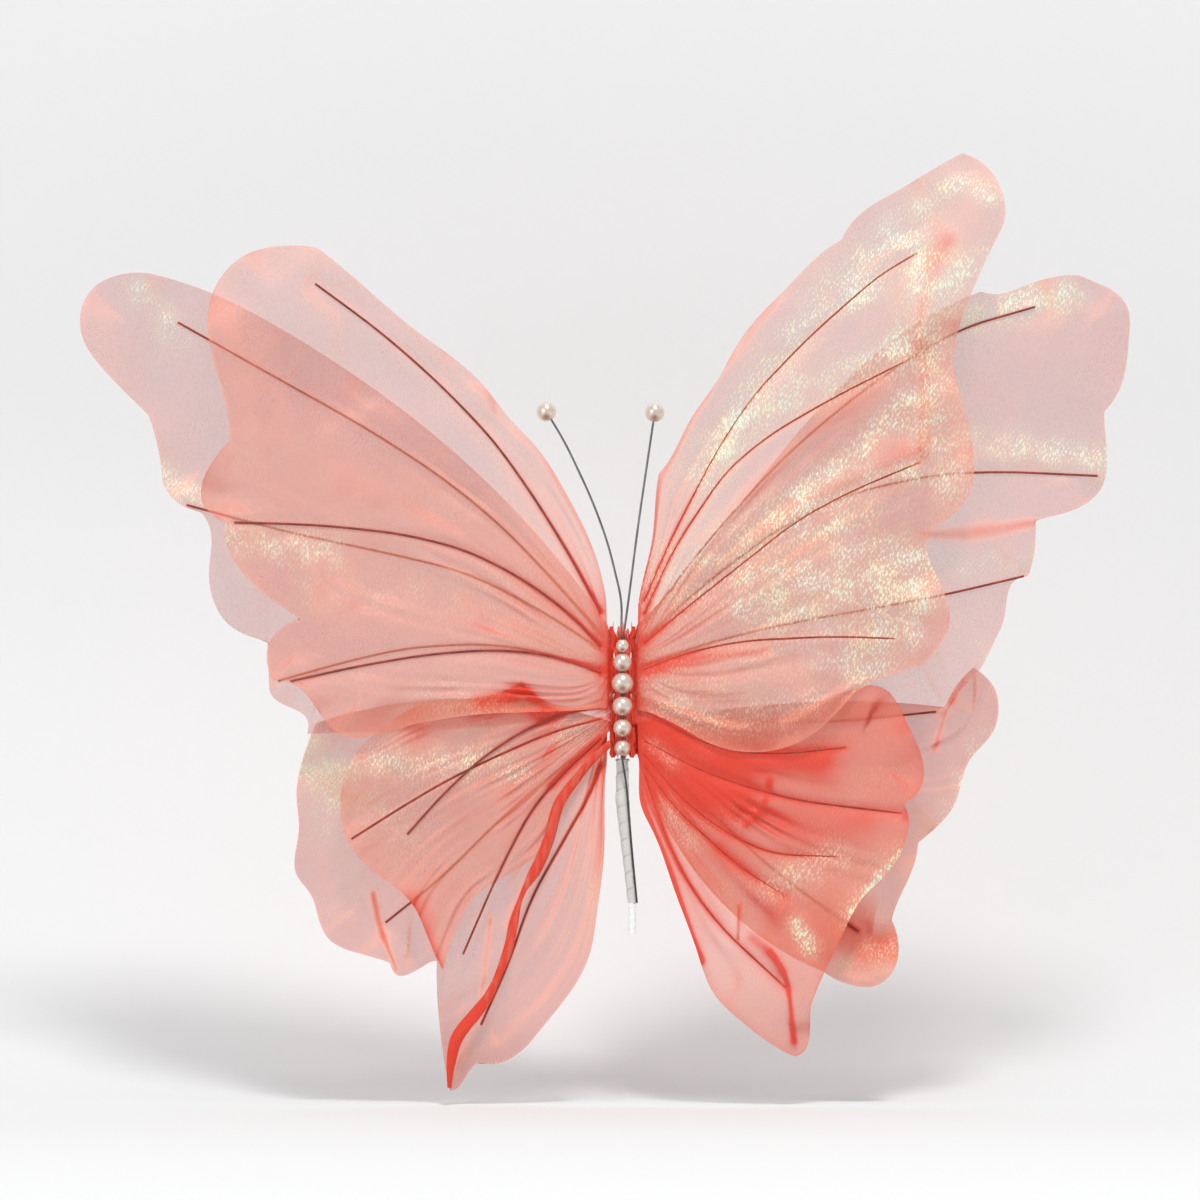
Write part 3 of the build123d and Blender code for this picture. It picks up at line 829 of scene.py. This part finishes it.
def pearl_material(trim, grain):
    """Imitation pearl: a lacquer over plastic, worn dull round the hole, with painted shade and a painted
    reflection of the red cloth on its lower front and a painted rose reflection towards its rim.
    """
    material, nodes, shader = new_material("Imitation pearl")
    worn = nodes.attribute("wear")
    texture = nodes.texture(grain, 0.0012)
    tint = nodes.mix(texture.outputs["Blotch"], rgba(trim.pearl), (0.92, 0.84, 0.76, 1.0))
    # Painted shade and a painted reflection of the red cloth on the pearl's lower front, then a painted rose
    # reflection towards its rim
    painted_shade_and_reflection = nodes.mix(nodes.attribute("underside"), tint, (0.30, 0.11, 0.07, 1.0))
    facing = nodes.add("LayerWeight", {"Blend": 0.30}).outputs["Facing"]
    painted_shade_and_reflection = nodes.mix(facing, painted_shade_and_reflection, (0.62, 0.34, 0.26, 1.0))
    lacquer = nodes.spread(texture.outputs["Grain"], 0, 1, 0.20, 0.25)
    rough = nodes.math("ADD", lacquer, nodes.math("MULTIPLY", worn, 0.35), clamp=True)
    nodes.fill(shader, {
        "Base Color": nodes.mix(worn, painted_shade_and_reflection, (0.62, 0.46, 0.36, 1.0)), "Roughness": rough,
        "Normal": nodes.relief(texture.outputs["Grain"], 0.08, 0.0001), "Coat Weight": 1.0,
        "Coat Roughness": 0.08, "Metallic": 0.55})
    return material


def wire_material(name, colour, grain, roughness):
    """Drawn metal wire with fine marks."""
    material, nodes, shader = new_material(name)
    texture = nodes.texture(grain, 0.0008)
    dull = tuple(0.55 * c for c in colour)
    tint = nodes.mix(texture.outputs["Blotch"], rgba(colour), rgba(dull))
    rough = nodes.spread(texture.outputs["Grain"], 0, 1, roughness - 0.08, roughness + 0.12)
    nodes.fill(shader, {"Base Color": tint, "Roughness": rough, "Metallic": 1.0})
    return material


def tape_material(name, colour, grain, shade):
    """Crimped paper tape, with painted shade in a darker line under each overlap."""
    material, nodes, shader = new_material(name)
    texture = nodes.texture(grain, 0.0006)
    lap = nodes.attribute("lap")
    dirt_and_shade = tuple(shade * c for c in colour)
    tint = nodes.mix(nodes.spread(texture.outputs["Grain"], 0, 1, 0.5, 0.0), rgba(colour), rgba(dirt_and_shade))
    # Painted shade: a darker line under the edge of each overlap
    tint = nodes.mix(nodes.math("MULTIPLY", lap, 0.5), tint, rgba(tuple(0.6 * c for c in dirt_and_shade)))
    nodes.fill(shader, {
        "Base Color": tint, "Normal": nodes.relief(texture.outputs["Grain"], 0.35, 0.0003),
        "Roughness": 0.62, "Sheen Weight": 0.1})
    return material


def thread_material(trim, grain):
    """Red binding thread."""
    material, nodes, shader = new_material("Binding thread")
    texture = nodes.texture(grain, 0.0003)
    dark = tuple(0.45 * c for c in trim.thread)
    tint = nodes.mix(texture.outputs["Grain"], rgba(dark), rgba(trim.thread))
    nodes.fill(shader, {"Base Color": tint, "Roughness": 0.6, "Sheen Weight": 0.2})
    return material


# ---------------------------------------------------------------- operators

class WINGS_OT_stage(bpy.types.Operator):
    """Makes the floor with its backdrop, the lights and the camera."""
    bl_idname = "wings.stage"
    bl_label = "Stage"

    def execute(self, context):
        settings = context.scene.wings_stage
        floor_z = CAD_BOX[0].z / MM - settings.floor / MM

        def place(u, v):
            y = PAPER_FRONT + PAPER_LENGTH * v
            past = np.maximum(y - PAPER_BEND_FROM, 0)
            turn = np.minimum(past / PAPER_BEND_R, math.pi / 2)
            up = np.maximum(past - PAPER_BEND_R * math.pi / 2, 0)
            return np.stack([
                PAPER_WIDTH * (u - 0.5),
                np.where(y < PAPER_BEND_FROM, y, PAPER_BEND_FROM + PAPER_BEND_R * np.sin(turn)),
                floor_z + PAPER_BEND_R * (1 - np.cos(turn)) + up], axis=-1)

        backdrop = grid_piece("Backdrop", place, 8, 400)
        if backdrop.data.polygons[0].normal.z < 0:
            backdrop.data.flip_normals()
        backdrop.data.materials.append(self.paper(settings))
        target = Vector(VIEW_CENTRE)
        for name, stand, size, power, colour in LIGHTS:
            lamp = bpy.data.lights.new(name, "AREA")
            lamp.shape, lamp.size, lamp.energy, lamp.color = "DISK", size, power, colour
            light = bpy.data.objects.new(name, lamp)
            light.location = stand
            light.rotation_euler = (target - Vector(stand)).to_track_quat("-Z", "Y").to_euler()
            context.scene.collection.objects.link(light)
        world = bpy.data.worlds.new("Studio")
        world.use_nodes = True
        sky = world.node_tree.nodes["Background"]
        sky.inputs["Color"].default_value = SKY_COLOUR
        sky.inputs["Strength"].default_value = SKY_STRENGTH
        context.scene.world = world
        context.scene.view_settings.view_transform = "Standard"
        context.scene.cycles.transparent_max_bounces = 32

        camera = bpy.data.cameras.new("Camera")
        camera.sensor_width = 36
        camera.lens = camera.sensor_width * settings.distance / settings.frame_width
        camera.clip_end = 50
        view = bpy.data.objects.new("Camera", camera)
        view.location = target + Vector((0, -settings.distance, 0))
        view.rotation_euler = (math.radians(90), 0, 0)
        context.scene.collection.objects.link(view)
        context.scene.camera = view
        return {"FINISHED"}

    def paper(self, settings):
        """Plain matt paper that is seen only from its front."""
        material, nodes, shader = new_material("Backdrop paper")
        nodes.fill(shader, {
            "Base Color": rgba(settings.paper), "Roughness": 0.9, "Specular IOR Level": 0.1})
        clear = nodes.add("BsdfTransparent").outputs[0]
        behind = nodes.add("NewGeometry").outputs["Backfacing"]
        both = nodes.add("MixShader", {0: behind, 1: shader.outputs[0], 2: clear}).outputs[0]
        nodes.tree.links.new(both, nodes.tree.nodes["Material Output"].inputs["Surface"])
        return material


def cloth_material():
    """The organza, made once for every piece of it."""
    return bpy.data.materials.get("Iridescent organza") or organza_material(bpy.context.scene.wings_cloth)


def grain():
    """The shared grain group, made once."""
    return bpy.data.node_groups.get("Fine grain") or grain_group()


class WINGS_OT_petals(bpy.types.Operator):
    """Makes the eight sheer petals, gathered at their roots and stretched along their veins."""
    bl_idname = "wings.petals"
    bl_label = "Wing petals"

    def execute(self, context):
        cloth = context.scene.wings_cloth
        for side in SIDES:
            for layer in LAYERS:
                self.make(Petal(side, layer), cloth)
        return {"FINISHED"}

    def make(self, petal, cloth):
        """One petal's cloth and its paint, put on its body in place of its CAD plate."""
        lay = petal_grid(petal, cloth.along, cloth.across)
        sheets = {}

        def place(u, v):
            rows = np.rint(u * cloth.along).astype(int)
            columns = np.rint(v * cloth.across).astype(int)
            places = lay[rows, columns]
            height, tone, shimmer, rim = petal_relief(petal, places, v, cloth)
            out = petal.out(places[:, 0])
            _, dense, veins_show = TONE[petal.body]
            behind = 0.75 * VEIN_R if veins_show else -0.95 * VEIN_R
            near_root = ease(out, -ROOT_OUT, 8)
            depth = petal.depth(out) + near_root * (behind - height) - (1 - near_root) * 0.5 * height
            sheets.update(tone=tone, shimmer=shimmer, rim=rim, dense=dense)
            return np.stack([places[:, 0], depth, places[:, 1]], axis=-1)

        piece = grid_piece(f"{petal.body}_organza", place, cloth.along, cloth.across)
        normals = np.empty(len(piece.data.vertices) * 3)
        piece.data.vertices.foreach_get("normal", normals)
        slope = 1 / np.maximum(np.abs(normals.reshape(-1, 3)[:, 1]), 0.3) - 1
        sheets["tone"] = sheets["tone"] + np.minimum(0.9 * slope, 0.25)
        paint(piece, **sheets)
        settle(piece, petal.body, "organza", cloth_material(), petal.node)


class WINGS_OT_rolled_edge(bpy.types.Operator):
    """Makes the inner edge of the left lower front petal, rolled up into a red ribbon."""
    bl_idname = "wings.rolled_edge"
    bl_label = "Rolled edge"

    def execute(self, context):
        petal = Petal("left", "lower_front")
        route = smooth_path(ROLLED_EDGE, 14)
        share = np.linspace(0, 1, len(route))
        depth = petal.depth(petal.out(route[:, 0])) - 0.9
        path = np.stack([route[:, 0], depth, route[:, 1]], axis=-1)
        half = np.maximum(route[:, 2] / 2, 0.5)
        piece = tube(
            "left_lower_front_rolled_edge", path,
            lambda s, v: np.interp(s, share, half) * (1 + 0.10 * np.sin(3 * math.tau * v + 40 * s)), 28,
            depth=0.35 * half + 0.25, turn=0.25 * np.sin(share * 21) + 0.3 * np.sin(share * 8))
        places = vertex_places(piece)
        streak = 0.5 + 0.5 * ripples(places[:, 0] * 3, places[:, 1] * 9 + places[:, 2] * 0.4, 9, 4)
        low_end = bump(places[:, 2] + 62, 30)
        paint(piece, tone=0.60 + 0.22 * streak + 0.25 * low_end, shimmer=0.0, rim=0.0, dense=0.1)
        settle(piece, petal.body, "organza", cloth_material())
        return {"FINISHED"}


class WINGS_OT_gathers(bpy.types.Operator):
    """Makes the bound, pleated root of each petal and the gathered cloth behind the pearls."""
    bl_idname = "wings.gathers"
    bl_label = "Gathered roots"

    def execute(self, context):
        for side in SIDES:
            for layer in LAYERS:
                self.root(Petal(side, layer))
        self.spine_frill()
        return {"FINISHED"}

    def root(self, petal):
        """The pleated roll on a pivot line."""
        low, high = petal.roll
        heights = np.linspace(low - 0.4, high - 2.6, 40)
        lean = petal.sign * (1.2 * ease(heights, high - 8, high - 2) + 0.3 * np.sin(heights * 0.8))
        path = np.stack([petal.pivot_x + lean, np.zeros(40), heights], axis=-1)
        rng = np.random.default_rng(petal.seed + 11)
        phases = rng.uniform(0, math.tau, 3)

        def radius(s, v):
            ends = -0.7 * ease(s, 0.62, 1.0) - 0.6 * ease(0.12 - s, 0, 0.12)
            pleats = 0.16 * np.sin(9 * math.tau * v + phases[0] + 1.6 * np.sin(5 * s + phases[1]))
            crush = 0.10 * np.sin(4 * math.tau * v + 14 * s + phases[2])
            return ROLL_R + 0.12 + ends + (pleats + crush) * (1 + 0.5 * ends)

        piece = tube(f"{petal.body}_gathered_root", path, radius, 64)
        paint(piece, tone=0.85, shimmer=0.0, rim=0.0, dense=0.1)
        settle(piece, petal.body, "organza", cloth_material())

    def spine_frill(self):
        """A pleated strip on the front of the spine, which opens into a frill over the top pearl."""
        low, high = 79.0, 138.5

        def place(u, v):
            side = 2 * u - 1
            height = low + (high - low) * v + 2.2 * (1 - v) ** 8 * (1 + np.sin(side * 8)) * 0.5
            flare = ease(height, 128, 138.5)
            half = 3.6 + 0.4 * np.sin(height * 0.55) - 1.4 * ease(low + 5 - height, 0, 5) - 0.8 * flare
            pleats = np.sin(side * 17 + 1.4 * np.sin(height * 0.33)) * (0.30 + 0.5 * flare)
            forward = 1.9 + 0.4 * np.sin(height * 0.9 + 2) * (1 - flare) + 1.6 * flare + pleats
            ragged = flare * (1.1 * np.sin(side * 9 + 1) + 1.3 * np.sin(side * 4 + 2) - 1.2 * side ** 2)
            across, depth = SPINE_X + side * half, -forward - 0.7 * (1 - side ** 2)
            return np.stack([across, depth, height + ragged], axis=-1)

        piece = grid_piece("spine_gathered_cloth", place, 60, 130)
        places = vertex_places(piece)
        fade = ease(places[:, 2], 132, 139)
        streak = 0.5 + 0.5 * ripples(places[:, 0] * 4, places[:, 2] * 0.5, 6, 21)
        # Painted sheen: faint pale highlights along the frill's pleats
        paint(piece, tone=0.62 + 0.38 * streak - 0.35 * fade, shimmer=0.12 * streak, rim=0.0, dense=0.1)
        settle(piece, "stem", "organza", cloth_material())


class WINGS_OT_pearls(bpy.types.Operator):
    """Makes the six body pearls and the two antenna pearls, each drilled for its wire."""
    bl_idname = "wings.pearls"
    bl_label = "Pearls"

    def execute(self, context):
        material = pearl_material(context.scene.wings_trim, grain())
        nodes = [name for name in sorted(frame["nodes"]) if "_pearl_" in name]
        for node in nodes:
            side = node.rsplit("_", 1)[-1]
            body = f"antenna_{side}" if side in SIDES else "stem"
            low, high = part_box(node)
            centre, radius = (low + high) / 2, (high.z - low.z) / 2
            axis = Vector((0, 0, 1))
            if side in SIDES:
                wire = frame["nodes"][f"antenna_wire_{side}"].data
                beyond = [v.co for v in wire.vertices if (v.co - centre).length > radius]
                beyond.sort(key=lambda place: (place - centre).length)
                axis = (centre - sum(beyond[:8], Vector()) / 8).normalized()
            self.make(f"{node}_drilled", node, centre, radius, axis, body, material)
        return {"FINISHED"}

    def make(self, name, node, centre, radius, axis, body, material):
        """One pearl with a dimple round each end of its hole and a faint moulding line."""
        bm = bmesh.new()
        bmesh.ops.create_uvsphere(bm, u_segments=56, v_segments=40, radius=radius)
        wear = []
        for v in bm.verts:
            across = v.co.xy.length
            dimple = max(0.0, 1 - across / (1.15 * MM))
            wear.append(min(1.0, 1.6 * dimple))
            v.co.z *= 1 - 0.16 * dimple
            v.co *= 1 + 0.004 * math.exp(-(v.co.z / (0.12 * radius)) ** 2)
        turn = Vector((0, 0, 1)).rotation_difference(axis).to_matrix().to_4x4()
        bmesh.ops.transform(bm, matrix=Matrix.Translation(centre) @ turn, verts=bm.verts)
        for face in bm.faces:
            face.smooth = True
        piece = new_piece(bm, name)
        places = (vertex_places(piece) - np.array(centre) / MM) / (radius / MM)
        # Painted shade and reflection of the red cloth: a patch on the lower front of the pearl
        shade = bump(np.hypot(places[:, 0], places[:, 2] + 0.52), 0.42) * (places[:, 1] < 0)
        paint(piece, wear=wear, underside=shade)
        settle(piece, body, "pearl", material, node)


class WINGS_OT_stem(bpy.types.Operator):
    """Makes the tape round the stem, the wrap on its tip and the thread that binds the roots."""
    bl_idname = "wings.stem"
    bl_label = "Stem"

    def execute(self, context):
        trim = context.scene.wings_trim
        tape = tape_material("Floral tape", trim.tape, grain(), 0.78)
        tip = tape_material("Tip wrap", trim.tip, grain(), 0.9)
        self.wrap(
            "stem_tape_wrap", STEM_TIP_TOP - 0.4, TAPE_STATIONS[-1][0], trim.tape_pitch / MM, tape,
            "stem_tape", "floral_tape", 0.34)
        self.wrap("tip_tape_wrap", 0.0, STEM_TIP_TOP + 0.5, 3.2, tip, "tip_tape", "tip_wrap", 0.14)
        self.thread(trim)
        return {"FINISHED"}

    def wrap(self, name, low, high, pitch, material, node, slot, step):
        """Tape wound up a stretch of the stem, each turn lapping the one below."""
        heights = np.linspace(low, high, int((high - low) * 5))
        middle = SPINE_X * np.clip((heights - STEM_TIP_TOP) / (STEM_BEND_TOP - STEM_TIP_TOP), 0, 1)
        path = np.stack([middle, np.zeros_like(middle), heights], axis=-1)
        stations, radii = zip(*TAPE_STATIONS)

        def radius(s, v):
            height = low + (high - low) * s
            lap = (height / pitch + v + 0.05 * np.sin(height * 1.7)) % 1.0
            plain = np.interp(height, stations, radii)
            crimp = 0.05 * np.sin(math.tau * 7 * v + height * 2.3) * np.sin(height * 3.1)
            ends = 0.25 * bump(height - low, 0.5) * (low > 0)
            return plain - step * 0.6 + step * lap + crimp - ends

        piece = tube(name, path, radius, 48)
        places = vertex_places(piece)
        angle = np.arctan2(-places[:, 1], places[:, 0] - np.interp(places[:, 2], heights, middle))
        lap = (places[:, 2] / pitch + angle / math.tau) % 1.0
        # marks where the painted shade line under each overlap falls
        paint(piece, lap=bump(np.minimum(lap, 1 - lap), 0.06))
        settle(piece, "stem", slot, material, node)

    def thread(self, trim):
        """Thread wound round the spine wires behind the pearls."""
        low, high = (corner.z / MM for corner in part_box("root_binding"))
        turns = (high - low) / (trim.thread_pitch / MM)
        t = np.linspace(0, 1, int(turns * 22))
        radius = 1.5 + 0.08 * np.sin(t * 37)
        path = np.stack([
            SPINE_X + radius * np.cos(math.tau * turns * t),
            radius * np.sin(math.tau * turns * t),
            low + (high - low) * (t + 0.002 * np.sin(t * 90))], axis=-1)
        piece = tube("root_binding_thread", path, np.full(len(path), 0.22), 8)
        settle(piece, "stem", "thread", thread_material(trim, grain()), "root_binding")


class WINGS_OT_wires(bpy.types.Operator):
    """Gives the frame's own wires and ring their finishes."""
    bl_idname = "wings.wires"
    bl_label = "Wires"

    def execute(self, context):
        trim = context.scene.wings_trim
        cover = vein_material(trim, grain())
        steel = wire_material("Antenna steel", trim.steel, grain(), 0.36)
        dark = wire_material("Bare wire", (0.13, 0.12, 0.12), grain(), 0.42)
        silver = wire_material("Silver wire", (0.75, 0.74, 0.72), grain(), 0.22)
        finishes = {
            "bead_wire": dark, "collar_ring": silver, "spine_wires": steel,
            "antenna_wire_left": steel, "antenna_wire_right": steel,
        }
        for name, node in frame["nodes"].items():
            finish = cover if name.endswith("_vein") else finishes.get(name)
            if finish:
                node.data.materials.clear()
                node.data.materials.append(finish)
        return {"FINISHED"}


class WINGS_PT_panel(bpy.types.Panel):
    """Lists the steps in the order in which they run."""
    bl_label = "Organza wings"
    bl_idname = "WINGS_PT_panel"
    bl_space_type = "VIEW_3D"
    bl_region_type = "UI"
    bl_category = "Wings"

    def draw(self, context):
        for step in STEPS:
            self.layout.operator(step.bl_idname)


STEPS = (
    WINGS_OT_stage, WINGS_OT_petals, WINGS_OT_rolled_edge, WINGS_OT_gathers, WINGS_OT_pearls, WINGS_OT_stem,
    WINGS_OT_wires)
SETTINGS = {"wings_cloth": WINGS_PG_cloth, "wings_trim": WINGS_PG_trim, "wings_stage": WINGS_PG_stage}


def register():
    """Adds the settings, the steps and the panel."""
    for name, settings in SETTINGS.items():
        bpy.utils.register_class(settings)
        setattr(bpy.types.Scene, name, bpy.props.PointerProperty(type=settings))
    for item in (*STEPS, WINGS_PT_panel):
        bpy.utils.register_class(item)


def unregister():
    """Takes them away again."""
    for item in (WINGS_PT_panel, *reversed(STEPS)):
        bpy.utils.unregister_class(item)
    for name, settings in SETTINGS.items():
        delattr(bpy.types.Scene, name)
        bpy.utils.unregister_class(settings)


def main():
    """Registers the add-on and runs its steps."""
    register()
    for step in STEPS:
        section, name = step.bl_idname.split(".")
        getattr(getattr(bpy.ops, section), name)()


if __name__ == "__main__":
    main()
